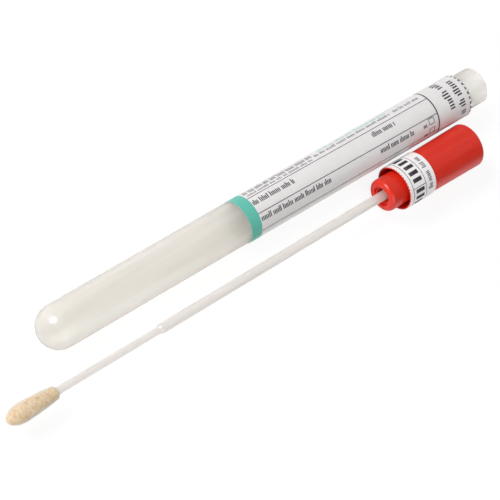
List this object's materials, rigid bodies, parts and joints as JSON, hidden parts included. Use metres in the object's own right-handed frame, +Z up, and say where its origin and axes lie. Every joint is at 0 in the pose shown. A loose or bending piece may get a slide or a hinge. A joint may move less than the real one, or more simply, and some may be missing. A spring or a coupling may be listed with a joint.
{
  "type": "specimen swab tube",
  "caption": "Round-ended specimen tube with a wrapped label, opened, lying beside its push-in cap, which carries a break-point shaft and a fibre swab tip.",
  "frame": {"origin": "middle of the bench face of the whole set's box", "axes": "+X along the tube and the swab, towards the tube's mouth and the cap's closed end; +Z up from the bench"},
  "size_m": [0.1678, 0.0258, 0.0127],
  "materials": {
    "tube_plastic": "translucent natural polypropylene, satin",
    "label_paper": "coated white label paper with a teal band and grey rules",
    "cap_plastic": "glossy red polyethylene",
    "band_paper": "coated white label paper, torn along one edge",
    "shaft_plastic": "translucent natural plastic, satin",
    "bud_fibre": "wound cream fibre"
  },
  "bodies": {
    "root": {"tube": "tube_plastic", "tube_label": "label_paper", "cap": "cap_plastic", "cap_band": "band_paper", "swab_shaft": "shaft_plastic", "swab_tip": "bud_fibre"}
  },
  "joints": []
}
